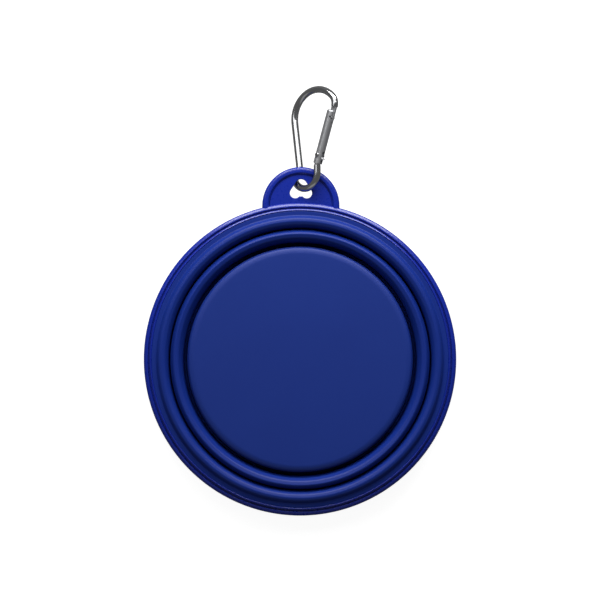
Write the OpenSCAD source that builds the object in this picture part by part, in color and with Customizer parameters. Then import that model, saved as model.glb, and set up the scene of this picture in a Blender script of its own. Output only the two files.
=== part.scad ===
// Collapsible silicone bowl, folded flat, with a wire carabiner through its hang tab.
// Millimetres, +Z up. The origin is on the bowl's axis, on the surface that the bowl stands on.
// Pulled open, each of the two fold stages rises by twice the free height of its fold wall.

/* [Floor] */
// Diameter of the floor plate
plate_d = 93.2; // [85:0.2:100]
// Thickness of the floor plate
plate_t = 2.2; // [1.6:0.1:3]
// Height of the floor plate's top above the table
plate_top = 12; // [10:0.5:14]
// Radius of the floor plate's rounded edge
plate_edge_r = 4.2; // [3.6:0.1:6]
// Width of the rounded edge, seen from above
plate_edge_w = 3.4; // [2:0.1:3.5]
// Radial width of the foot ring
foot_w = 3.6; // [2.4:0.1:6]
// Rounding of the foot ring's lower edges
foot_round = 0.8; // [0.3:0.1:1]

/* [Folds] */
// Thickness of the thin fold walls
fold_wall_t = 1.1; // [0.8:0.1:1.4]
// Height of a fold wall
fold_wall_h = 10.6; // [8:0.2:12]
// Height of the folds' lower edges above the table
fold_lift = 0.6; // [0.3:0.1:1.2]
// Gap between neighbouring rings
ring_gap = 0.4; // [0.3:0.05:0.6]
// Wall of the middle band and of the rim collar at their lower edges
band_wall = 1.5; // [1.1:0.1:2]
// How far the middle band leans outwards from its lower edge to its ridge
band_lean = 2.7; // [1.5:0.1:3.2]
// Height of the middle band's ridge above the table
band_top = 12.4; // [10.5:0.1:14]
// Rounding radius of the two ridges
ridge_r = 0.6; // [0.4:0.05:0.8]

/* [Rim] */
// How far the rim collar leans outwards from its lower edge to the outer ridge
collar_lean = 2; // [1:0.1:2.5]
// Height of the outer ridge above the table
rim_top = 13; // [12:0.1:15]
// Radial width of the facet between the outer ridge and the shelf
facet_w = 2.45; // [1.5:0.05:3.5]
// Radial width of the flat shelf
shelf_w = 3.1; // [2:0.1:4]
// Height of the shelf above the table
shelf_top = 10.4; // [9.6:0.1:11]
// Thickness of the shelf
shelf_t = 2.8; // [2:0.1:3.5]
// Rounding of the shelf's outer edge
shelf_round = 0.5; // [0.2:0.1:1]
// Width of the groove between the shelf and the hoop
groove_w = 0.4; // [0.2:0.05:0.8]
// Radial thickness of the hoop
hoop_t = 1.85; // [1.85:0.05:3]
// Height of the hoop's top above the table
hoop_top = 10.6; // [9.8:0.1:12]
// Rounding of the hoop's outer edges
hoop_round = 0.9; // [0.4:0.1:1.2]
// Thickness of the hoop's ledge under the shelf
ledge_t = 1.6; // [1.2:0.1:2.4]
// How far the ledge reaches in under the shelf
ledge_w = 3; // [2:0.1:4]

/* [Hang tab] */
// Radius of the tab
tab_r = 16; // [14:0.5:20]
// How far the tab's centre lies inside the hoop's outer face
tab_inset = 1.1; // [0:0.1:3]
// Depth of the tab's face below the top of the hoop
tab_drop = 1.1; // [0.8:0.1:2]
// Thickness of the tab inside its bead
tab_t = 1; // [0.8:0.1:1.2]
// Width of the bead along the tab's edge
bead_w = 2.6; // [1.6:0.1:3]
// Height of the bead above the tab's face
bead_h = 0.8; // [0.4:0.1:0.9]
// Rounding of the bead's upper edges
bead_round = 0.6; // [0.2:0.1:0.7]
// Radius of the two lower lobes of the hole
lobe_r = 2.35; // [2.3:0.05:2.6]
// Distance between the centres of the two lobes
lobe_spacing = 4.6; // [4.4:0.1:5.4]
// Radius of the hole's rounded apex
apex_r = 2.2; // [2.1:0.1:2.4]
// Distance of the apex's centre from the line between the lobes
apex_rise = 3.85; // [3.8:0.05:5]
// Height of the notch between the lobes above their lowest points
notch_h = 0.9; // [0.4:0.1:1.2]
// Distance of the lobes from the tab's centre
hole_offset = 4.95; // [4:0.05:6]

/* [Carabiner wire] */
// Diameter of the wire
wire_d = 2.8; // [2.4:0.1:2.9]
// Straight leg between the hinge and the eye
leg_l = 3.2; // [2.6:0.1:5]
// Bend radius of the eye that passes through the hang tab
eye_r = 6.1; // [5.6:0.1:7]
// Turn of the eye
eye_turn = 144.5; // [140:0.5:150]
// Bend radius of the two bends of the neck
neck_r = 3; // [2.4:0.1:3.6]
// Turn of the first bend of the neck
neck_turn = 88.5; // [80:0.5:92]
// Turn of the second bend of the neck, which leads into the spine
spine_turn = 59.5; // [52:0.5:64]
// Length of the straight spine
spine_l = 20.5; // [18:0.5:26]
// Bend radius of the shoulder
shoulder_r = 8.8; // [8:0.1:10]
// Turn of the shoulder
shoulder_turn = 83.5; // [80:0.5:87]
// Straight run over the crown
crown_l = 6.7; // [6:0.1:8]
// Bend radius of the nose
nose_r = 6.2; // [5.6:0.1:7]
// Turn of the nose
nose_turn = 121.5; // [118:0.5:125]

/* [Carabiner gate] */
// Diameter of the gate
gate_d = 3.7; // [3.4:0.1:4.2]
// Distance of the hinge rivet from the end of the leg
hinge_rise = 4.1; // [3.9:0.1:4.8]
// Running gap between the leg and the gate's rounded lower end
hinge_gap = 0.5; // [0.45:0.05:0.7]
// Gap between the gate's upper end and the nose
nose_gap = 1.7; // [0.8:0.1:2.4]
// How far the wire's nose stands outside the gate's axis
nose_shift = 0.86; // [0.5:0.02:1]
// Thickness of the flattened tang and tongue
flat_t = 1.2; // [0.9:0.1:1.4]
// Clearance of a slot at each side of the flat in it
slot_gap = 0.15; // [0.1:0.05:0.2]
// Length of the tongue beyond the nose
tongue_l = 6.4; // [5:0.1:8]
// Diameter of the hinge rivet's shank
rivet_d = 1.2; // [0.9:0.1:1.3]
// Diameter of the hinge rivet's heads
rivet_head_d = 1.9; // [1.6:0.1:2.4]
// Height of a rivet head
rivet_head_h = 0.4; // [0.25:0.05:0.6]
// Diameter of the latch pin
latch_d = 0.9; // [0.7:0.1:1]
// Radial clearance of the rivet and the latch pin in their holes
pin_fit = 0.05; // [0.02:0.01:0.09]
// Diameter of the plunger in the gate
plunger_d = 1.7; // [1.4:0.1:1.9]
// Length of the plunger
plunger_l = 2.6; // [2:0.1:4]
// Length of the gate spring
spring_l = 5; // [4:0.2:8]
// Wire of the gate spring
spring_wire_d = 0.35; // [0.25:0.05:0.4]

/* [Carabiner pose] */
// Roll about its long axis: the gate side stands higher than the spine
clip_roll = 38; // [37.5:0.5:45]
// Pitch: the far end lies lower than the hang tab
clip_pitch = 6.8; // [6.6:0.2:9]
// Turn about the vertical
clip_yaw = 0.5; // [-3:0.5:3]
// Where the wire crosses the tab: distance to the right of the hole's middle
cross_x = 0.35; // [0:0.05:0.4]
// Where the wire crosses the tab: distance outwards from the lobes
cross_y = 2.3; // [2:0.05:2.4]
// Where the wire crosses the tab: turn of the eye up to there
cross_turn = 105; // [95:1:115]

/* [Hidden] */
$fn = 96;

// One overrun serves all cuts
overrun = 1;
silicone_blue = "#1c3079";
hoop_blue = "#1c2e8e";
steel = "#b9babd";
satin_steel = "#7d7f82";

// Floor
plate_r = plate_d / 2;
plate_under = plate_top - plate_t;

// Rings of the folds, from the inside outwards
lower_wall_in = plate_r + ring_gap;
band_in = lower_wall_in + fold_wall_t + ring_gap;
band_ridge = band_in + band_wall / 2 + band_lean;
upper_wall_in = band_ridge + ridge_r + ring_gap;
collar_in = upper_wall_in + fold_wall_t + ring_gap;
collar_ridge = collar_in + band_wall / 2 + collar_lean;
band_ridge_z = band_top - ridge_r;
collar_ridge_z = rim_top - ridge_r;

// Rim
crease_r = collar_ridge + facet_w;
shelf_out = crease_r + shelf_w;
shelf_under = shelf_top - shelf_t;
facet_normal = 90 - atan2(rim_top - shelf_top, facet_w);
hoop_in = shelf_out + groove_w;
hoop_out = hoop_in + hoop_t;
hoop_bottom = shelf_under - ledge_t;
hoop_mid = hoop_in + hoop_t / 2;

// Hang tab
tab_y = hoop_out - tab_inset;
tab_face = hoop_top - tab_drop;
tab_under = tab_face - tab_t;
hole_y = tab_y + hole_offset;
lobe_x = lobe_spacing / 2;
belt_share = 0.985;

// Path of the carabiner's wire in its own plane: it starts at the leg's upper end, heading down
RUN = "run";
BEND = "bend";
leg_heading = -90;
wire_path = [
    [RUN, leg_l], [BEND, eye_r, -eye_turn], [BEND, neck_r, -neck_turn], [BEND, neck_r, spine_turn],
    [RUN, spine_l], [BEND, shoulder_r, -shoulder_turn], [RUN, crown_l], [BEND, nose_r, -nose_turn]];
wire_start = [0, 0, leg_heading];
joint_d_share = 1.015;
joint_l_share = 0.14;
wire_end = walk(wire_path, wire_start);

// Gate axis: from the leg's end to the nose, which stands a little outside it
nose_on_axis = [wire_end.x, wire_end.y] - nose_shift * heading_vector(wire_end.z + 90);
gate_angle = atan2(nose_on_axis.y, nose_on_axis.x);
nose_t = norm(nose_on_axis) - hinge_rise;
gate_top = nose_t - nose_gap;
gate_end_r = hinge_rise - hinge_gap;
gate_edge_share = 0.17;
gate_edge_r = gate_d * gate_edge_share;
pivot = hinge_rise * heading_vector(gate_angle);

// Hinge: the tang has a round end with a flat, on which the spring's plunger presses
tang_w_share = 0.86;
cam_r = wire_d * tang_w_share / 2;
cam_flat_share = 0.8;
cam_flat = cam_r * cam_flat_share;
spur_reach_share = 0.86;
spur_reach = gate_d * spur_reach_share;
tang_root_share = 0.33;
tang_root = wire_d * tang_root_share;
slot_t = flat_t + 2 * slot_gap;
hinge_slot_margin = 0.6;
hinge_slot_end = cam_r + hinge_slot_margin;
rivet_hole_d = rivet_d + 2 * pin_fit;
rivet_seat = gate_d / 2 + pin_fit;

// Plunger and spring in the gate's bore
bore_gap = slot_gap / 2;
bore_d = plunger_d + 2 * bore_gap;
plunger_start = cam_flat + pin_fit;
spring_start = plunger_start + plunger_l + pin_fit;
bore_end = spring_start + spring_l + pin_fit;
spring_turns = 5;
spring_r = bore_d / 2 - bore_gap - spring_wire_d / 2;

// Nose: the tongue lies in the gate's upper slot and carries the latch pin
tongue_out = gate_d / 2 + slot_gap;
tongue_w_share = 0.82;
tongue_w = wire_d * tongue_w_share;
tongue_in = tongue_out - tongue_w;
tongue_start = nose_t - tongue_l;
nose_slot_margin = 0.3;
nose_slot_start = tongue_start - nose_slot_margin;
nose_slot_in = tongue_in - nose_slot_margin;
latch_x_share = 0.34;
latch_x = gate_d * latch_x_share;
latch_inset = 1.8;
latch_t = tongue_start + latch_inset;
latch_l = 2 * sqrt(gate_d * gate_d / 4 - latch_x * latch_x) - slot_gap;
latch_hole_d = latch_d + 2 * pin_fit;
latch_notch_d = latch_d + 2 * slot_gap;

// Where the wire crosses the tab's middle plane
eye_centre = [-eye_r, -leg_l];
cross_local = eye_centre + eye_r * heading_vector(-cross_turn);
cross_place = [cross_x, hole_y + cross_y, tab_under + tab_t / 2];

function heading_vector(a) = [cos(a), sin(a)];

// A step along the wire: a state is [x, y, heading], and a positive turn goes left
function step(s, p) = p[0] == RUN
    ? [s.x + p[1] * cos(s.z), s.y + p[1] * sin(s.z), s.z]
    : let (c = bend_centre(s, p), a = bend_side(s, p) + p[2])
        [c.x + p[1] * cos(a), c.y + p[1] * sin(a), s.z + p[2]];
function bend_side(s, p) = s.z - 90 * sign(p[2]);
function bend_centre(s, p) = [s.x, s.y] - p[1] * heading_vector(bend_side(s, p));
function walk(path, s, i = 0) = i == len(path) ? s : walk(path, step(s, path[i]), i + 1);

// A point or a direction of the carabiner's own plane, in the frame of the bowl
function rolled(p) = [p.x * cos(clip_roll) - p.z * sin(clip_roll), p.y,
                      p.x * sin(clip_roll) + p.z * cos(clip_roll)];
function pitched(p) = [p.x, p.y * cos(clip_pitch) + p.z * sin(clip_pitch),
                       p.z * cos(clip_pitch) - p.y * sin(clip_pitch)];
function yawed(p) = [p.x * cos(clip_yaw) - p.y * sin(clip_yaw),
                     p.x * sin(clip_yaw) + p.y * cos(clip_yaw), p.z];
function clip_direction(p) = yawed(pitched(rolled(p)));
function clip_point(p) = cross_place + clip_direction(p - [cross_local.x, cross_local.y, 0]);

echo(tilt_pos = cross_place, tilt_axis = clip_direction([0, 1, 0]));
echo(gate_pos = clip_point([pivot.x, pivot.y, 0]), gate_axis = clip_direction([0, 0, 1]));
echo(plunger_axis = clip_direction([cos(gate_angle), sin(gate_angle), 0]));

// Shared shapes

// A rectangle of the radial section, from [r, z] to [r, z]
module section(low, high) {
    translate(low) square(high - low);
}

// A wall that leans outwards from its lower edge to a round ridge
module leaning_wall(inside, ridge, ridge_z) {
    polygon([[inside, fold_lift], [inside + band_wall, fold_lift],
             [ridge + ridge_r, ridge_z], [ridge - ridge_r, ridge_z]]);
    translate([ridge, ridge_z]) circle(r = ridge_r);
}

// A thin fold wall
module fold_wall(inside) {
    rotate_extrude() section([inside, fold_lift], [inside + fold_wall_t, fold_lift + fold_wall_h]);
}

// The area between a pair of circles, with its sides a hair inside their outer tangents
module belt(c1, r1, c2, r2) {
    d = c2 - c1;
    along = atan2(d.y, d.x);
    lean = acos((r1 - r2) / norm(d));
    up = belt_share * heading_vector(along + lean);
    down = belt_share * heading_vector(along - lean);
    polygon([c1 + r1 * up, c2 + r2 * up, c2 + r2 * down, c1 + r1 * down]);
}

// Outline of the hole: a rounded apex above two lobes with a notch between them
module hole_outline() {
    apex = [0, apex_rise];
    for (side = [-1, 1]) {
        lobe = [side * lobe_x, 0];
        translate(lobe) circle(r = lobe_r);
        belt(apex, apex_r, lobe, lobe_r);
    }
    translate(apex) circle(r = apex_r);
    polygon([apex, [-lobe_x, 0], [-lobe_x, notch_h - lobe_r], [lobe_x, notch_h - lobe_r], [lobe_x, 0]]);
}

// The wire, one straight run or bend after the other
module wire(path, s, i = 0) {
    if (i < len(path)) {
        p = path[i];
        if (p[0] == RUN)
            translate([s.x, s.y, 0]) rotate([0, 0, s.z]) rotate([0, 90, 0]) cylinder(d = wire_d, h = p[1]);
        else {
            c = bend_centre(s, p);
            first = bend_side(s, p) + min(0, p[2]);
            translate([c.x, c.y, 0]) rotate([0, 0, first])
                rotate_extrude(angle = abs(p[2])) translate([p[1], 0]) circle(d = wire_d);
        }
        if (i > 0) wire_joint(s);
        wire(path, step(s, p), i + 1);
    }
}

// A hair-thin sleeve that fuses two stretches of the wire where they meet
module wire_joint(s) {
    translate([s.x, s.y, 0]) rotate([0, 0, s.z]) rotate([0, 90, 0])
        cylinder(d = wire_d * joint_d_share, h = wire_d * joint_l_share, center = true);
}

// Places the carabiner's own plane in the hang tab
module clip_place() {
    translate(cross_place) rotate([0, 0, clip_yaw]) rotate([-clip_pitch, 0, 0]) rotate([0, -clip_roll, 0])
        translate([-cross_local.x, -cross_local.y, 0]) children();
}

// Frame of the gate: origin at the hinge, +Y along the gate, +X to its outer side
module gate_place() {
    clip_place() translate([pivot.x, pivot.y, 0]) rotate([0, 0, gate_angle - 90]) children();
}

// A cylinder along the gate
module along_gate(from, to, d) {
    translate([0, from, 0]) rotate([-90, 0, 0]) cylinder(d = d, h = to - from);
}

// Sub-parts

module base_plate() {
    flat_r = plate_r - plate_edge_w;
    color(silicone_blue) rotate_extrude() {
        section([0, plate_under], [flat_r, plate_top]);
        intersection() {
            section([flat_r, plate_under], [plate_r, plate_top]);
            translate([flat_r, plate_top - plate_edge_r]) circle(r = plate_edge_r);
        }
    }
}

module foot_ring() {
    foot_in = plate_r - foot_w;
    color(silicone_blue) rotate_extrude() {
        section([foot_in, foot_round], [plate_r, plate_under]);
        section([foot_in + foot_round, 0], [plate_r - foot_round, foot_round]);
        for (r = [foot_in + foot_round, plate_r - foot_round])
            translate([r, foot_round]) circle(r = foot_round);
    }
}

module lower_fold_wall() {
    color(silicone_blue) fold_wall(lower_wall_in);
}

module middle_band() {
    color(silicone_blue) rotate_extrude() leaning_wall(band_in, band_ridge, band_ridge_z);
}

module upper_fold_wall() {
    color(silicone_blue) fold_wall(upper_wall_in);
}

module rim_collar() {
    wall_out = collar_in + band_wall;
    share_up = (shelf_under - fold_lift) / (collar_ridge_z - fold_lift);
    wall_under = wall_out + (collar_ridge + ridge_r - wall_out) * share_up;
    ridge = [collar_ridge, collar_ridge_z];
    corner = [shelf_out - shelf_round, shelf_top - shelf_round];
    color(silicone_blue) rotate_extrude() {
        polygon([[collar_in, fold_lift], [wall_out, fold_lift], [wall_under, shelf_under],
                 [shelf_out, shelf_under], [shelf_out, corner.y], [corner.x, shelf_top], [crease_r, shelf_top],
                 ridge + ridge_r * heading_vector(facet_normal), [collar_ridge - ridge_r, collar_ridge_z]]);
        translate(ridge) circle(r = ridge_r);
        translate(corner) circle(r = shelf_round);
    }
}

module rim_hoop() {
    color(hoop_blue) difference() {
        union() {
            hoop_ring();
            difference() {
                hang_tab();
                cylinder(r = hoop_mid, h = hoop_top + overrun);
            }
        }
        translate([0, hole_y, tab_under - overrun])
            linear_extrude(height = tab_t + bead_h + 2 * overrun) hole_outline();
    }
}

// The hoop with its ledge under the shelf
module hoop_ring() {
    round_at = hoop_out - hoop_round;
    rotate_extrude() {
        section([hoop_in - ledge_w, hoop_bottom], [hoop_in, shelf_under]);
        section([hoop_in, hoop_bottom], [round_at, hoop_top]);
        section([round_at, hoop_bottom + hoop_round], [hoop_out, hoop_top - hoop_round]);
        for (z = [hoop_bottom + hoop_round, hoop_top - hoop_round])
            translate([round_at, z]) circle(r = hoop_round);
    }
}

// The round tab with the bead along its edge
module hang_tab() {
    bead_in = tab_r - bead_w;
    bead_top = tab_face + bead_h;
    translate([0, tab_y, 0]) rotate_extrude() {
        section([0, tab_under], [tab_r, tab_face]);
        section([bead_in, tab_face], [tab_r, bead_top - bead_round]);
        section([bead_in + bead_round, tab_face], [tab_r - bead_round, bead_top]);
        for (r = [bead_in + bead_round, tab_r - bead_round])
            translate([r, bead_top - bead_round]) circle(r = bead_round);
    }
}

module carabiner_frame() {
    color(steel) difference() {
        union() {
            clip_place() wire(wire_path, wire_start);
            gate_place() {
                tang();
                tongue();
            }
        }
        gate_place() cylinder(d = rivet_hole_d, h = gate_d, center = true);
        gate_place() translate([latch_x, latch_t, 0]) cylinder(d = latch_hole_d, h = gate_d, center = true);
    }
}

// Flattened end of the leg, with the cam round the rivet and a spur at its outer side
module tang() {
    linear_extrude(height = flat_t, center = true) {
        difference() {
            circle(r = cam_r);
            translate([-cam_r, cam_flat]) square([2 * cam_r, cam_r]);
        }
        translate([-cam_r, -hinge_rise - tang_root]) square([2 * cam_r, hinge_rise + tang_root]);
        polygon([[0, -2 * cam_r], [spur_reach, -cam_r], [0, 0]]);
    }
}

// Flattened end of the nose
module tongue() {
    translate([tongue_in, tongue_start, -flat_t / 2]) cube([tongue_w, tongue_l + tang_root, flat_t]);
}

module carabiner_gate() {
    color(satin_steel) gate_place() difference() {
        union() {
            gate_tube();
            intersection() {
                along_gate(-gate_end_r, 0, gate_d);
                cylinder(r = gate_end_r, h = gate_d + overrun, center = true);
            }
        }
        translate([-gate_d, -hinge_rise, -slot_t / 2]) cube([2 * gate_d, hinge_rise + hinge_slot_end, slot_t]);
        along_gate(0, bore_end, bore_d);
        cylinder(d = rivet_hole_d, h = gate_d + overrun, center = true);
        translate([nose_slot_in, nose_slot_start, -slot_t / 2])
            cube([gate_d, gate_top - nose_slot_start + overrun, slot_t]);
        latch_notch();
    }
}

// Upper part of the gate, with a rounded end
module gate_tube() {
    rotate([-90, 0, 0]) rotate_extrude() {
        section([0, 0], [gate_d / 2, gate_top - gate_edge_r]);
        section([0, 0], [gate_d / 2 - gate_edge_r, gate_top]);
        translate([gate_d / 2 - gate_edge_r, gate_top - gate_edge_r]) circle(r = gate_edge_r);
    }
}

// Notch in which the latch pin lies while the gate is closed, open to the outer side
module latch_notch() {
    translate([latch_x, latch_t, 0]) cylinder(d = latch_notch_d, h = gate_d, center = true);
    translate([latch_x, latch_t - latch_notch_d / 2, -gate_d / 2]) cube([gate_d, latch_notch_d, gate_d]);
}

module hinge_rivet() {
    color(steel) gate_place() {
        cylinder(d = rivet_d, h = 2 * rivet_seat, center = true);
        for (side = [0, 180])
            rotate([0, side, 0]) translate([0, 0, rivet_seat]) cylinder(d = rivet_head_d, h = rivet_head_h);
    }
}

module latch_pin() {
    color(steel) gate_place() translate([latch_x, latch_t, 0]) cylinder(d = latch_d, h = latch_l, center = true);
}

module gate_spring() {
    color(steel) gate_place() translate([0, spring_start, 0]) rotate([-90, 0, 0]) coil();
}

// A helix of round wire, swept ring by ring
module coil() {
    sides = 6;
    per_turn = 8;
    last = spring_turns * per_turn;
    rise = spring_l - spring_wire_d;
    points = [for (i = [0:last], k = [0:sides - 1])
        let (a = 360 * i / per_turn, b = 360 * k / sides, r = spring_r + spring_wire_d / 2 * cos(b))
            [r * cos(a), r * sin(a), rise * i / last + spring_wire_d / 2 * (1 + sin(b))]];
    skin = [for (i = [0:last - 1], k = [0:sides - 1], half = [0, 1])
        let (here = i * sides + k, beside = i * sides + (k + 1) % sides)
            half == 0 ? [here, beside, here + sides] : [beside, beside + sides, here + sides]];
    caps = [for (k = [1:sides - 2], end = [0, 1])
        end == 0 ? [0, k + 1, k] : [last * sides, last * sides + k, last * sides + k + 1]];
    polyhedron(points, concat(skin, caps));
}

module spring_plunger() {
    color(steel) gate_place() along_gate(plunger_start, plunger_start + plunger_l, plunger_d);
}

base_plate();
foot_ring();
lower_fold_wall();
middle_band();
upper_fold_wall();
rim_collar();
rim_hoop();
carabiner_frame();
carabiner_gate();
hinge_rivet();
latch_pin();
gate_spring();
spring_plunger();
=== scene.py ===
# Collapsible silicone bowl, folded flat, with a hang tab and a sprung wire carabiner.
# Shapes are drawn in millimetres and placed in metres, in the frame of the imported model:
# +Z up, the bowl's axis through the origin, the hang tab towards +Y.

import math

import bmesh
import bpy
from mathutils import Matrix, Vector


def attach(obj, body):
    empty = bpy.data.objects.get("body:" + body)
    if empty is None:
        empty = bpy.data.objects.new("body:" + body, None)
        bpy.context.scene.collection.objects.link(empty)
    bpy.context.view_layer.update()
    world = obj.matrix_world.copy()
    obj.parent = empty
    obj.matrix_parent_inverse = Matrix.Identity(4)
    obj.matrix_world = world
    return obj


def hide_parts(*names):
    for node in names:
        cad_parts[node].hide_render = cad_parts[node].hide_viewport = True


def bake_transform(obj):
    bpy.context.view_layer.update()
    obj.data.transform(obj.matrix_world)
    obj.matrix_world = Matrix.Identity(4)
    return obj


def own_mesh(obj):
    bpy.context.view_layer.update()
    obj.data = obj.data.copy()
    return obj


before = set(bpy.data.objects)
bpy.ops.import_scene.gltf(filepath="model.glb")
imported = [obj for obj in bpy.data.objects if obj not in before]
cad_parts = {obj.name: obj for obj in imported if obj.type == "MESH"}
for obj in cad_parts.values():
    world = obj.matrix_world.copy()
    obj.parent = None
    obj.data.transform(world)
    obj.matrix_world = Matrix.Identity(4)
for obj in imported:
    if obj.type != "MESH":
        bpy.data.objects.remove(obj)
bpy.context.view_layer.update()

MM = 0.001
IN_METRES = Matrix.Scale(MM, 4)
FULL_TURN = 2 * math.pi
RING_STEPS = 256
HOOP_STEPS = 512
PIN_STEPS = 40
ROUND_STEPS = 5
SAME_PLACE = 0.002
CREASE_ANGLE = math.radians(40)
LONG_SIDE = 4


# Making meshes

def piece_from(bm, name, material, place=IN_METRES):
    """Places a finished bmesh and makes it an object, with smooth rounds, flat flats and sharp creases."""
    bm.transform(place)
    for face in bm.faces:
        face.smooth = True
    for edge in bm.edges:
        edge.smooth = len(edge.link_faces) == 2 and edge.calc_face_angle() < CREASE_ANGLE
    mesh = bpy.data.meshes.new(name)
    bm.to_mesh(mesh)
    bm.free()
    mesh.materials.append(material)
    piece = bpy.data.objects.new(name, mesh)
    bpy.context.scene.collection.objects.link(piece)
    piece.modifiers.new("even_normals", "WEIGHTED_NORMAL").keep_sharp = True
    return piece


def tidy(bm):
    """Merges doubled points and turns the faces outwards."""
    bmesh.ops.remove_doubles(bm, verts=bm.verts, dist=SAME_PLACE)
    bmesh.ops.recalc_face_normals(bm, faces=bm.faces)


def round_off(bm, edges, rounding):
    bmesh.ops.bevel(
        bm, geom=edges, offset=rounding, offset_type="OFFSET", segments=ROUND_STEPS, profile=0.5,
        affect="EDGES", material=-1,
    )


def on_ring(edge, r, z):
    """True where both ends of an edge lie on the ring of radius r at height z."""
    return all(
        abs(math.hypot(v.co.x, v.co.y) - r) < SAME_PLACE and abs(v.co.z - z) < SAME_PLACE
        for v in edge.verts
    )


def round_corners(bm, corners):
    """Rounds the corners of a spun section that say so."""
    for r, z, rounding in corners:
        if rounding:
            round_off(bm, [e for e in bm.edges if on_ring(e, r, z)], rounding)


def turned(corners, steps=RING_STEPS, cuts=0):
    """Spins a closed section, or one that starts and ends on the axis, and rounds its corners.
    A corner is (radius, height, rounding); cuts divide the long sides, for a wall that bends."""
    bm = bmesh.new()
    verts = [bm.verts.new((r, 0, z)) for r, z, _ in corners]
    ends = verts[1:] if corners[0][0] == 0 else verts[1:] + verts[:1]
    sides = [bm.edges.new(pair) for pair in zip(verts, ends)]
    if cuts:
        bmesh.ops.subdivide_edges(bm, edges=[e for e in sides if e.calc_length() > LONG_SIDE], cuts=cuts)
    bmesh.ops.spin(
        bm, geom=bm.verts[:] + bm.edges[:], cent=(0, 0, 0), axis=(0, 0, 1), dvec=(0, 0, 0),
        angle=FULL_TURN, steps=steps, use_merge=True,
    )
    tidy(bm)
    round_corners(bm, corners)
    return bm


def extruded(bm, faces, step):
    """Extrudes faces by a step and returns the faces at the far end."""
    grown = bmesh.ops.extrude_face_region(bm, geom=faces)["geom"]
    bmesh.ops.translate(bm, verts=[g for g in grown if isinstance(g, bmesh.types.BMVert)], vec=step)
    return [g for g in grown if isinstance(g, bmesh.types.BMFace)]


def joined(*parts):
    """Puts the shapes of several bmeshes into the first one."""
    first = parts[0]
    for part in parts[1:]:
        mesh = bpy.data.meshes.new("joining")
        part.to_mesh(mesh)
        part.free()
        first.from_mesh(mesh)
        bpy.data.meshes.remove(mesh)
    return first


# Silicone rings, from the inside outwards: corners of (radius, height, rounding)

FLOOR_CUP = [
    (0, 12, 0), (42.3, 12, 0), (44.9, 12, 1), (46.4, 11.25, 0.4), (46.4, 9.6, 0.2), (45.7, 9.2, 0),
    (45.7, 0, 0.8), (43, 0, 0.8), (43, 9.8, 0.8), (0, 9.8, 0),
]
LOWER_FOLD = [(45.85, 10.1, 0.2), (46.8, 10.1, 0.25), (47.4, 0.8, 0.3), (46.4, 0.8, 0.3)]
MIDDLE_BAND = [
    (46.6, 0.6, 0.25), (50.2, 0.6, 0.5), (52.9, 10.6, 0), (52.9, 12.3, 0.1), (52.2, 12.85, 0.35),
    (50.5, 12.25, 0.5), (49.4, 10.5, 0.5), (48.6, 8.4, 0.5), (48.5, 1.8, 0.4), (46.6, 1.3, 0.2),
]
UPPER_FOLD = [
    (52.2, 11.7, 0), (52.85, 12.28, 0.1), (53.9, 10.4, 0.4), (54.1, 0.8, 0.3), (53, 0.8, 0.3),
    (52.9, 9.3, 0.2),
]
RIM_COLLAR = [
    (53.2, 0.6, 0.25), (55.95, 0.6, 0.5), (57.15, 7.6, 0.6), (62.6, 7.6, 0.3), (62.6, 10.8, 0.1),
    (61.75, 10.8, 0), (61.6, 11.3, 0.15), (59.8, 11.3, 0.3), (58.65, 12.95, 0.5), (57.4, 13.25, 0.3),
    (56, 12.7, 0.5), (55.1, 11.3, 0.4), (54.6, 9.8, 0.4), (54.5, 1.6, 0.3), (53.2, 1.3, 0.2),
]
EDGE_BEAD = [
    (61.7, 10.7, 0), (62.62, 10.7, 0), (62.62, 11.05, 0.2), (61.97, 11.5, 0.15), (61.66, 11.27, 0.1),
]
# Cuts along each long side of the fold skins
FOLD_CUTS = 23

# Rim hoop and hang tab

HOOP = [
    (60.15, 6, 0.4), (65, 6, 0.9), (65, 9.85, 0.5), (63.8, 10.6, 0.25), (63.3, 10.6, 0.15),
    (63.2, 9.9, 0.1), (62.7, 9.9, 0), (62.7, 7.6, 0), (60.15, 7.6, 0.3),
]
HOOP_MID = 64.1
TAB_X, TAB_Y, TAB_R, TAB_UNDER, TAB_FACE, TAB_TOP = -0.3, 63.9, 16.1, 8.5, 9.5, 10.3
TAB_BEAD = [
    (12.9, TAB_UNDER, 0), (TAB_R, TAB_UNDER, 0.3), (TAB_R, TAB_TOP, 1.35), (13.75, TAB_TOP, 0.25),
    (13.3, TAB_FACE, 0.2), (12.9, TAB_FACE, 0),
]
BEAD_STEP = math.radians(2)
PLATE_R = 14.2
HOLE_Y, LOBE_X, LOBE_R, APEX_RISE, APEX_R, NOTCH_H = 69.2, 2.4, 2.2, 3.2, 2.5, 0.8
HOLE_ROUNDING = 0.2
ARC_STEP = math.radians(6)


def arc(centre, radius, first, last):
    """Points along an arc, both ends included; the angles are in radians."""
    count = max(2, math.ceil(abs(last - first) / ARC_STEP))
    angles = [first + (last - first) * i / count for i in range(count + 1)]
    return [(centre[0] + radius * math.cos(a), centre[1] + radius * math.sin(a)) for a in angles]


def meets_hoop_at(radius):
    """How far along +Y a circle of this radius round the tab's centre meets the hoop's middle."""
    return (HOOP_MID**2 - radius**2 + TAB_Y**2) / (2 * TAB_Y)


def hole_outline():
    """Rounded apex above two lobes with a notch between them."""
    lean = math.atan2(APEX_RISE, -LOBE_X) - math.acos((LOBE_R - APEX_R) / math.hypot(LOBE_X, APEX_RISE))
    notch_drop = NOTCH_H - LOBE_R
    notch = math.atan2(notch_drop, -math.sqrt(LOBE_R**2 - notch_drop**2))
    right = arc((LOBE_X, HOLE_Y), LOBE_R, notch, lean)
    top = arc((0, HOLE_Y + APEX_RISE), APEX_R, lean, math.pi - lean)
    left = [(-x, y) for x, y in reversed(right)]
    return right + top + left


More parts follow.
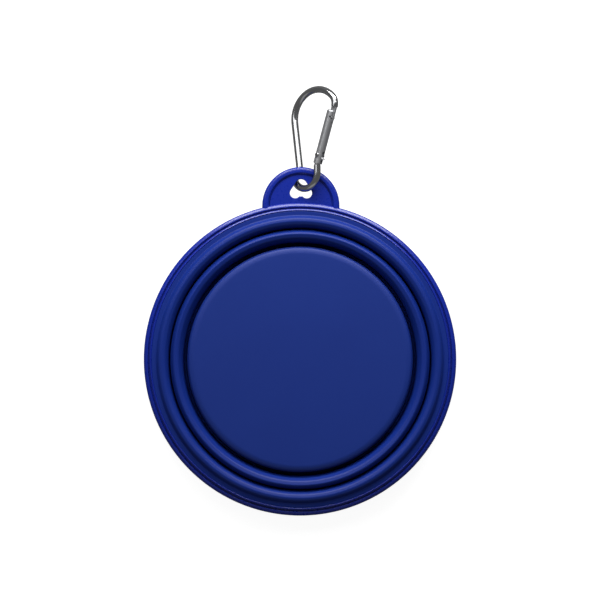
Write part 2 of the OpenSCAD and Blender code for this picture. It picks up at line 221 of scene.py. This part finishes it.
def tab_outline():
    """Edge of the tab's plate: round inside the bead, and along the middle of the hoop."""
    meet_y = meets_hoop_at(PLATE_R)
    meet_x = math.sqrt(HOOP_MID**2 - meet_y**2)
    low = math.atan2(meet_y - TAB_Y, meet_x)
    side = math.atan2(meet_y, meet_x)
    round_edge = arc((0, TAB_Y), PLATE_R, low, math.pi - low)
    hoop_edge = arc((0, 0), HOOP_MID, math.pi - side, side)
    return round_edge[:-1] + hoop_edge[:-1]


def hang_tab_plate():
    bm = bmesh.new()
    loops = []
    for outline in (tab_outline(), hole_outline()):
        verts = [bm.verts.new((x, y, TAB_FACE)) for x, y in outline]
        loops.append([bm.edges.new(pair) for pair in zip(verts, verts[1:] + verts[:1])])
    hole = [v.co.xy.copy() for e in loops[1] for v in e.verts]
    faces = bmesh.ops.triangle_fill(bm, use_beauty=True, edges=loops[0] + loops[1])["geom"]
    extruded(bm, [f for f in faces if isinstance(f, bmesh.types.BMFace)], (0, 0, TAB_UNDER - TAB_FACE))
    tidy(bm)
    hole_edges = [
        e for e in bm.edges
        if abs(e.verts[0].co.z - e.verts[1].co.z) < SAME_PLACE and e.calc_face_angle(0) > CREASE_ANGLE
        and all(min((v.co.xy - h).length for h in hole) < SAME_PLACE for v in e.verts)
    ]
    round_off(bm, hole_edges, HOLE_ROUNDING)
    bmesh.ops.translate(bm, verts=bm.verts, vec=(TAB_X, 0, 0))
    return bm


def hang_tab_bead():
    """A flat-topped bead along the tab's edge, with both ends inside the hoop."""
    bm = bmesh.new()
    low = -math.asin((TAB_Y - meets_hoop_at(TAB_R)) / TAB_R)
    section = bm.faces.new([bm.verts.new((r, 0, z)) for r, z, _ in TAB_BEAD])
    bmesh.ops.rotate(bm, verts=bm.verts, cent=(0, 0, 0), matrix=Matrix.Rotation(low, 3, "Z"))
    sweep = math.pi - 2 * low
    bmesh.ops.spin(
        bm, geom=[section], cent=(0, 0, 0), axis=(0, 0, 1), dvec=(0, 0, 0), angle=sweep,
        steps=round(sweep / BEAD_STEP),
    )
    tidy(bm)
    round_corners(bm, TAB_BEAD)
    bmesh.ops.translate(bm, verts=bm.verts, vec=(TAB_X, TAB_Y, 0))
    return bm


# Carabiner: the wire's path in its own plane, as in the part's source but with one smooth arch at the top

WIRE_R = 1.45
WIRE_SIDES = 40
WIRE_STEP = math.radians(3)
CUT_ROUNDING = 0.12
LEG, EYE_R, NECK_R, SPINE, ARCH_R, NOSE_R = 3.2, 6.1, 3, 18.82, 11.43, 4.58
EYE_TURN, NECK_TURN, SPINE_TURN, ARCH_TURN, NOSE_TURN = 144.5, 88.5, 60.74, 145.86, 60.38
RUN, BEND = "run", "bend"
WIRE_PATH = [
    (RUN, LEG), (BEND, EYE_R, -EYE_TURN), (BEND, NECK_R, -NECK_TURN), (BEND, NECK_R, SPINE_TURN),
    (RUN, SPINE), (BEND, ARCH_R, -ARCH_TURN), (BEND, NOSE_R, -NOSE_TURN),
]
LEG_HEADING = -90
CLIP_ROLL, CLIP_PITCH, CLIP_YAW = 38, 6.8, 0.5
CROSS_PLACE, CROSS_TURN = (0.35, 71.15, 9), 105

# Gate, hinge and latch, in the gate's frame: hinge at the origin, +Y along the gate, +X to its outer side

HINGE_RISE, NOSE_SHIFT = 4.1, 0.86
FLAT_T, FLAT_ROUNDING = 1.2, 0.15
CAM_R, CAM_FLAT, TANG_ROOT = 1.2, 0.96, 0.92
SPUR_REACH, SPUR_LOW, SPUR_Y, SPUR_HIGH = 3.1, -1.6 * CAM_R, -CAM_R, -0.4 * CAM_R
TONGUE_L, TONGUE_W, TONGUE_OUT = 6.4, 2.3, 2.0
RIVET_R, RIVET_HEAD_R, RIVET_SEAT, RIVET_TOP, RIVET_DOME = 0.6, 0.95, 1.9, 2.3, 0.34
LATCH_R, LATCH_X, LATCH_INSET, LATCH_HALF, LATCH_ROUNDING = 0.45, 1.26, 1.8, 1.28, 0.12
PLUNGER_R, PLUNGER_START, PLUNGER_END, PLUNGER_ROUNDING, PLUNGER_TRAVEL = 0.85, 1.01, 3.61, 0.2, 0.25
SPRING_START, SPRING_L, SPRING_R, SPRING_WIRE_R, SPRING_TURNS = 3.66, 5, 0.675, 0.175, 5
COIL_STEPS, COIL_SIDES = 24, 12


def heading_vector(degrees):
    a = math.radians(degrees)
    return Vector((math.cos(a), math.sin(a), 0))


def bend_centre(at, heading, radius, turn):
    return at + radius * heading_vector(heading + math.copysign(90, turn))


def bend_end(at, centre, turn):
    return centre + Matrix.Rotation(math.radians(turn), 3, "Z") @ (at - centre)


def walk(path):
    """Where the wire's path ends, and its heading there."""
    at, heading = Vector((0, 0, 0)), LEG_HEADING
    for kind, size, *turn in path:
        if kind == RUN:
            at = at + size * heading_vector(heading)
        else:
            at = bend_end(at, bend_centre(at, heading, size, turn[0]), turn[0])
            heading += turn[0]
    return at, heading


nose_at, nose_heading = walk(WIRE_PATH)
nose_on_axis = nose_at - NOSE_SHIFT * heading_vector(nose_heading + 90)
gate_angle = math.atan2(nose_on_axis.y, nose_on_axis.x)
nose_t = nose_on_axis.length - HINGE_RISE
latch_t = nose_t - TONGUE_L + LATCH_INSET
cross_local = Vector((-EYE_R, -LEG, 0)) + EYE_R * heading_vector(-CROSS_TURN)

clip_place = (
    IN_METRES
    @ Matrix.Translation(CROSS_PLACE)
    @ Matrix.Rotation(math.radians(CLIP_YAW), 4, "Z")
    @ Matrix.Rotation(math.radians(-CLIP_PITCH), 4, "X")
    @ Matrix.Rotation(math.radians(-CLIP_ROLL), 4, "Y")
    @ Matrix.Translation(-cross_local)
)
gate_in_clip = (
    Matrix.Translation(HINGE_RISE * Vector((math.cos(gate_angle), math.sin(gate_angle), 0)))
    @ Matrix.Rotation(gate_angle - math.pi / 2, 4, "Z")
)
gate_place = clip_place @ gate_in_clip
along_gate = gate_place @ Matrix.Rotation(-math.pi / 2, 4, "X")
latch_place = gate_place @ Matrix.Translation((LATCH_X, latch_t, 0))
coil_place = along_gate @ Matrix.Translation((0, 0, SPRING_START))


def wire_end(bm, radius, sides, place):
    """The round face that a wire is drawn from."""
    start = bmesh.ops.create_circle(bm, cap_ends=True, segments=sides, radius=radius, matrix=place)
    return list({f for v in start["verts"] for f in v.link_faces})


def bent_wire():
    """Draws the wire along its path: straight runs are extruded, bends are spun. Each leaves the face that
    it starts from inside the wire, so the faces where two of them meet are deleted."""
    bm = bmesh.new()
    cap = wire_end(bm, WIRE_R, WIRE_SIDES, Matrix.Rotation(math.pi / 2, 4, "X"))
    part_ends = []
    at, heading = Vector((0, 0, 0)), LEG_HEADING
    for kind, size, *turn in WIRE_PATH:
        if kind == RUN:
            step = size * heading_vector(heading)
            cap = extruded(bm, cap, step)
            at = at + step
        else:
            centre = bend_centre(at, heading, size, turn[0])
            angle = math.radians(turn[0])
            spun = bmesh.ops.spin(
                bm, geom=cap, cent=centre, axis=(0, 0, 1), dvec=(0, 0, 0), angle=angle,
                steps=math.ceil(abs(angle) / WIRE_STEP),
            )
            cap = [g for g in spun["geom_last"] if isinstance(g, bmesh.types.BMFace)]
            at = bend_end(at, centre, turn[0])
            heading += turn[0]
        part_ends += cap
    bmesh.ops.delete(bm, geom=part_ends[:-1], context="FACES_ONLY")
    tidy(bm)
    round_off(bm, [e for f in bm.faces if len(f.verts) > 4 for e in f.edges], CUT_ROUNDING)
    return bm


def stamped_flat(outline):
    """A flat stamping with broken edges, drawn in the gate's frame and put into the clip's."""
    bm = bmesh.new()
    face = bm.faces.new([bm.verts.new((x, y, -FLAT_T / 2)) for x, y in outline])
    extruded(bm, [face], (0, 0, FLAT_T))
    tidy(bm)
    round_off(bm, [e for e in bm.edges if e.calc_face_angle() > CREASE_ANGLE], FLAT_ROUNDING)
    bm.transform(gate_in_clip)
    return bm


def leg_tang():
    """The leg's flattened end: a round cam with a flat at the rivet, and a spur at its outer side."""
    root_y = -HINGE_RISE - TANG_ROOT
    cam = arc((0, 0), CAM_R, 0, math.asin(CAM_FLAT / CAM_R))
    return stamped_flat([
        (-CAM_R, root_y), (CAM_R, root_y), (CAM_R, SPUR_LOW), (SPUR_REACH, SPUR_Y), (CAM_R, SPUR_HIGH),
        *cam, *((-x, y) for x, y in reversed(cam)),
    ])


def nose_tongue():
    """The nose's flattened end, which reaches into the gate's slot."""
    low, high, inner = nose_t - TONGUE_L, nose_t + TANG_ROOT, TONGUE_OUT - TONGUE_W
    return stamped_flat([(inner, low), (TONGUE_OUT, low), (TONGUE_OUT, high), (inner, high)])


def coil():
    """The gate's spring: a round of wire spun up a screw."""
    bm = bmesh.new()
    foot = Matrix.Translation((SPRING_R, 0, SPRING_WIRE_R)) @ Matrix.Rotation(math.pi / 2, 4, "X")
    steps = SPRING_TURNS * COIL_STEPS
    rise = (SPRING_L - 2 * SPRING_WIRE_R) / steps
    bmesh.ops.spin(
        bm, geom=wire_end(bm, SPRING_WIRE_R, COIL_SIDES, foot), cent=(0, 0, 0), axis=(0, 0, 1),
        dvec=(0, 0, rise), angle=FULL_TURN * SPRING_TURNS, steps=steps,
    )
    tidy(bm)
    return bm


def pin(radius, low, high, rounding):
    return turned([(0, high, 0), (radius, high, rounding), (radius, low, rounding), (0, low, 0)], PIN_STEPS)


def rivet():
    """A shank with a domed head at both ends."""
    return turned([
        (0, RIVET_TOP, 0), (RIVET_HEAD_R, RIVET_TOP, RIVET_DOME), (RIVET_HEAD_R, RIVET_SEAT, 0),
        (RIVET_R, RIVET_SEAT, 0), (RIVET_R, -RIVET_SEAT, 0), (RIVET_HEAD_R, -RIVET_SEAT, 0),
        (RIVET_HEAD_R, -RIVET_TOP, RIVET_DOME), (0, -RIVET_TOP, 0),
    ], PIN_STEPS)


# Materials

PIGMENT_MM, GRAIN_MM, GRAIN_STRENGTH = 30, 0.9, 0.5
DULLEST_GRAIN, SHINIEST_GRAIN = 1.12, 0.88
LINE_STRETCH, LINE_STRENGTH = 40, 0.4
DULLEST_LINE, SHINIEST_LINE = 1.25, 0.75


def linear(hex_colour):
    """An sRGB hex colour as linear RGBA."""
    parts = [int(hex_colour[i:i + 2], 16) / 255 for i in (1, 3, 5)]
    return [c / 12.92 if c <= 0.04045 else ((c + 0.055) / 1.055) ** 2.4 for c in parts] + [1]


def add(tree, kind, settings=None, sockets=None):
    """Adds a node with its settings; a socket takes a value or another node's output."""
    made = tree.nodes.new(kind)
    for key, value in (settings or {}).items():
        setattr(made, key, value)
    for key, value in (sockets or {}).items():
        if isinstance(value, bpy.types.NodeSocket):
            tree.links.new(value, made.inputs[key])
        else:
            made.inputs[key].default_value = value
    return made


def new_material(name):
    material = bpy.data.materials.new(name)
    material.use_nodes = True
    material.node_tree.nodes.clear()
    return material, material.node_tree


def per_metre(size_mm):
    """The scale of a texture whose features are this many millimetres across."""
    return 1 / (size_mm * MM)


def moulded(name, light, dark, roughness, ior, gloss, grain_depth):
    """A pigmented moulding. The blasted mould gives a fine even grain, drawn 0.9 mm wide because the real
    0.1 mm would not show. The sheen varies with the grain, and the pigment faintly over some 30 mm."""
    material, tree = new_material(name)
    place = add(tree, "ShaderNodeTexCoord").outputs["Object"]
    broad = add(
        tree, "ShaderNodeTexNoise", None, {"Vector": place, "Scale": per_metre(PIGMENT_MM), "Detail": 2},
    )
    grain = add(
        tree, "ShaderNodeTexNoise", None, {"Vector": place, "Scale": per_metre(GRAIN_MM), "Detail": 3},
    )
    colour = add(
        tree, "ShaderNodeMix", {"data_type": "RGBA"},
        {"Factor": broad.outputs["Fac"], "A": linear(dark), "B": linear(light)},
    )
    sheen = add(
        tree, "ShaderNodeMapRange", None,
        {
            "Value": grain.outputs["Fac"],
            "To Min": roughness * SHINIEST_GRAIN, "To Max": roughness * DULLEST_GRAIN,
        },
    )
    bump = add(
        tree, "ShaderNodeBump", None,
        {"Strength": GRAIN_STRENGTH, "Distance": grain_depth * MM, "Height": grain.outputs["Fac"]},
    )
    skin = add(
        tree, "ShaderNodeBsdfPrincipled", None,
        {
            "Base Color": colour.outputs["Result"], "Roughness": sheen.outputs["Result"], "IOR": ior,
            "Specular IOR Level": gloss, "Normal": bump.outputs["Normal"],
        },
    )
    add(tree, "ShaderNodeOutputMaterial", None, {"Surface": skin.outputs["BSDF"]})
    return material


def drawn_steel(name, tone, roughness, line_mm, line_depth, turn):
    """Steel with fine lines along the carabiner, drawn a quarter or half of a millimetre apart because the
    real ones are too fine to show. They part the highlights into streaks; polish leaves them shallow."""
    material, tree = new_material(name)
    place = add(tree, "ShaderNodeTexCoord").outputs["Object"]
    lengthwise = add(
        tree, "ShaderNodeMapping", {"vector_type": "TEXTURE"},
        {
            "Vector": place, "Rotation": turn,
            "Scale": (line_mm * MM, LINE_STRETCH * line_mm * MM, line_mm * MM),
        },
    )
    lines = add(
        tree, "ShaderNodeTexNoise", None, {"Vector": lengthwise.outputs["Vector"], "Scale": 1, "Detail": 3},
    )
    gloss = add(
        tree, "ShaderNodeMapRange", None,
        {
            "Value": lines.outputs["Fac"],
            "To Min": roughness * SHINIEST_LINE, "To Max": roughness * DULLEST_LINE,
        },
    )
    bump = add(
        tree, "ShaderNodeBump", None,
        {"Strength": LINE_STRENGTH, "Distance": line_depth * MM, "Height": lines.outputs["Fac"]},
    )
    metal = add(
        tree, "ShaderNodeBsdfPrincipled", None,
        {
            "Base Color": linear(tone), "Metallic": 1, "Roughness": gloss.outputs["Result"],
            "Normal": bump.outputs["Normal"],
        },
    )
    add(tree, "ShaderNodeOutputMaterial", None, {"Surface": metal.outputs["BSDF"]})
    return material


# Silicone rubber from a blasted mould: matte on the floor, satin on the thin rings
floor_silicone = moulded(
    "blasted_silicone", "#142f80", "#112b7a", roughness=0.5, ior=1.41, gloss=0.36, grain_depth=0.015,
)
ring_silicone = moulded(
    "satin_silicone", "#142d80", "#11297a", roughness=0.42, ior=1.41, gloss=0.25, grain_depth=0.008,
)
# Polypropylene from a smoother mould: a purer blue with narrower, brighter highlights
hoop_polypropylene = moulded(
    "moulded_polypropylene", "#0c2592", "#0b238c", roughness=0.28, ior=1.49, gloss=0.45, grain_depth=0.002,
)
# Nickel-plated steel wire, polished to dark and bright streaks; a satin steel tube; plain spring steel
gate_turn = gate_place.to_euler()
wire_steel = drawn_steel(
    "polished_plated_wire", "#b4b5b7", roughness=0.13, line_mm=0.5, line_depth=0.002, turn=gate_turn,
)
gate_steel = drawn_steel(
    "satin_steel_tube", "#bdbec1", roughness=0.42, line_mm=0.25, line_depth=0.01, turn=gate_turn,
)
spring_steel = drawn_steel(
    "drawn_spring_steel", "#9a9b9e", roughness=0.3, line_mm=0.25, line_depth=0.004, turn=gate_turn,
)


# Pieces

def moves_with(piece, body, *nodes):
    """Makes a piece ride on a body, in place of the nodes named."""
    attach(piece, body)
    if nodes:
        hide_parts(*nodes)


floor_cup = piece_from(turned(FLOOR_CUP), "floor_cup", floor_silicone)
moves_with(floor_cup, "base", "base_plate", "foot_ring")
middle_band = piece_from(turned(MIDDLE_BAND), "middle_band_ring", ring_silicone)
moves_with(middle_band, "band", "middle_band")
rim_collar = piece_from(turned(RIM_COLLAR), "rim_collar_ring", ring_silicone)
moves_with(rim_collar, "rim", "rim_collar")

lower_fold = piece_from(turned(LOWER_FOLD, cuts=FOLD_CUTS), "lower_fold_skin", ring_silicone)
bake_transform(lower_fold)
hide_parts("lower_fold_wall")

upper_fold = piece_from(turned(UPPER_FOLD, cuts=FOLD_CUTS), "upper_fold_skin", ring_silicone)
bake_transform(upper_fold)
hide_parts("upper_fold_wall")

edge_bead = piece_from(
    turned(EDGE_BEAD, HOOP_STEPS), "collar_edge_bead", hoop_polypropylene,
)
moves_with(edge_bead, "rim")
hoop_shape = joined(turned(HOOP, HOOP_STEPS), hang_tab_plate(), hang_tab_bead())
rim_hoop = piece_from(hoop_shape, "rim_hoop_and_tab", hoop_polypropylene)
moves_with(rim_hoop, "rim", "rim_hoop")

wire = piece_from(bent_wire(), "carabiner_wire", wire_steel, clip_place)
moves_with(wire, "clip", "carabiner_frame")
ends_shape = joined(leg_tang(), nose_tongue())
moves_with(piece_from(ends_shape, "flattened_wire_ends", gate_steel, clip_place), "clip")
domed_rivet = piece_from(rivet(), "domed_rivet", wire_steel, gate_place)
moves_with(domed_rivet, "clip", "hinge_rivet")
latch_shape = pin(LATCH_R, -LATCH_HALF, LATCH_HALF, LATCH_ROUNDING)
latch = piece_from(latch_shape, "nose_latch_pin", wire_steel, latch_place)
moves_with(latch, "clip", "latch_pin")

plunger_shape = pin(PLUNGER_R, PLUNGER_START, PLUNGER_END, PLUNGER_ROUNDING)
plunger = piece_from(plunger_shape, "plunger_pin", spring_steel, along_gate)
moves_with(plunger, "plunger", "spring_plunger")
gate_coil = piece_from(coil(), "gate_coil", spring_steel, coil_place)
moves_with(gate_coil, "gate", "gate_spring")
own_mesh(gate_coil)

# The gate keeps its own solid
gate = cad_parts["carabiner_gate"].data.materials
gate.clear()
gate.append(gate_steel)


# Studio: white paper and four soft lamps, with a low key light from the hang tab's side

PAPER_R, PAPER_SIDES = 6, 64
PAPER_TO_CAMERA, PAPER_TO_OBJECT = "#f2f2f2", "#5c5c5c"
GLOW_SEEN, GLOW_IN_GLOSS, GLOW_LEVEL = 0.6, 0.05, 1.53
ROOM_LEVEL, ROOM_MORE_IN_GLOSS = 0.08, 0.08
WHITE = (1, 1, 1, 1)


def ray_kinds(tree):
    """Two outputs: whether the camera sees this, straight or through clear things, and whether gloss does."""
    path = add(tree, "ShaderNodeLightPath")
    seen = add(
        tree, "ShaderNodeMath", {"operation": "MAXIMUM"},
        {0: path.outputs["Is Camera Ray"], 1: path.outputs["Is Transmission Ray"]},
    )
    return seen.outputs["Value"], path.outputs["Is Glossy Ray"]


def studio_paper():
    """Paper that glows white to the camera and keeps a faint shadow. To the object it is a dark grey, so
    that little light comes back up from it, and the metal and the gloss keep their dark sides."""
    material, tree = new_material("studio_paper")
    seen, in_gloss = ray_kinds(tree)
    tone = add(
        tree, "ShaderNodeMix", {"data_type": "RGBA"},
        {"Factor": seen, "A": linear(PAPER_TO_OBJECT), "B": linear(PAPER_TO_CAMERA)},
    )
    glow_seen = add(tree, "ShaderNodeMath", {"operation": "MULTIPLY"}, {0: seen, 1: GLOW_SEEN})
    glow = add(
        tree, "ShaderNodeMath", {"operation": "MULTIPLY_ADD"},
        {0: in_gloss, 1: GLOW_IN_GLOSS, 2: glow_seen.outputs["Value"]},
    )
    paper = add(tree, "ShaderNodeBsdfDiffuse", None, {"Color": tone.outputs["Result"]})
    white = add(tree, "ShaderNodeEmission", None, {"Color": WHITE, "Strength": GLOW_LEVEL})
    mixed = add(
        tree, "ShaderNodeMixShader", None,
        {0: glow.outputs["Value"], 1: paper.outputs["BSDF"], 2: white.outputs["Emission"]},
    )
    add(tree, "ShaderNodeOutputMaterial", None, {"Surface": mixed.outputs["Shader"]})
    return material


def studio_floor():
    bm = bmesh.new()
    bmesh.ops.create_circle(bm, cap_ends=True, segments=PAPER_SIDES, radius=PAPER_R)
    piece_from(bm, "studio_floor", studio_paper(), Matrix.Identity(4))


def studio_room():
    """A room that is white to the camera, dim to the object and a little less dim in its gloss and metal."""
    world = bpy.data.worlds.new("studio_room")
    world.use_nodes = True
    tree = world.node_tree
    tree.nodes.clear()
    seen, in_gloss = ray_kinds(tree)
    dim = add(
        tree, "ShaderNodeMath", {"operation": "MULTIPLY_ADD"},
        {0: in_gloss, 1: ROOM_MORE_IN_GLOSS, 2: ROOM_LEVEL},
    )
    level = add(tree, "ShaderNodeMath", {"operation": "MAXIMUM"}, {0: seen, 1: dim.outputs["Value"]})
    air = add(tree, "ShaderNodeBackground", None, {"Color": WHITE, "Strength": level.outputs["Value"]})
    add(tree, "ShaderNodeOutputWorld", None, {"Surface": air.outputs["Background"]})
    bpy.context.scene.world = world


def studio_lamp(name, place, aim, width, depth, power, turn=0):
    """A soft rectangular lamp, in metres and watts, turned about its beam by degrees."""
    lamp = bpy.data.lights.new(name, "AREA")
    lamp.shape, lamp.size, lamp.size_y, lamp.energy = "RECTANGLE", width, depth, power
    holder = bpy.data.objects.new(name, lamp)
    holder.location = place
    holder.rotation_euler = (Vector(aim) - Vector(place)).to_track_quat("-Z", "Y").to_euler()
    holder.rotation_euler.rotate_axis("Z", math.radians(turn))
    bpy.context.scene.collection.objects.link(holder)


studio_floor()
studio_room()
studio_lamp("key_softbox", (0.02, 0.5, 0.234), (0, 0, 0.01), width=0.66, depth=0.14, power=4.5)
studio_lamp("back_panel", (-0.06, 0.44, 0.39), (0, 0.1, 0.015), width=0.7, depth=0.19, power=0.95)
studio_lamp("front_fill", (-0.12, -0.38, 0.4), (0, 0.05, 0.01), width=1, depth=0.25, power=0.22)
studio_lamp("overhead_strip", (0, 0.33, 0.5), (0, 0.33, 0), width=1.15, depth=0.12, power=1.13, turn=7.8)

# Camera straight above, turned a little as in the photograph

VIEW_W, VIEW_HEIGHT, RIM_LEVEL, SENSOR = 0.2493, 1.2, 0.0106, 36
VIEW_CENTRE = (-0.00026, 0.02469)
VIEW_TURN = math.radians(0.56)
eye = bpy.data.cameras.new("photo_camera")
eye.sensor_width, eye.lens = SENSOR, SENSOR * VIEW_HEIGHT / VIEW_W
camera = bpy.data.objects.new("photo_camera", eye)
camera.location = (*VIEW_CENTRE, RIM_LEVEL + VIEW_HEIGHT)
camera.rotation_euler = (0, 0, VIEW_TURN)
bpy.context.scene.collection.objects.link(camera)
bpy.context.scene.camera = camera

bpy.context.scene.view_settings.view_transform = "Standard"

bpy.context.view_layer.update()
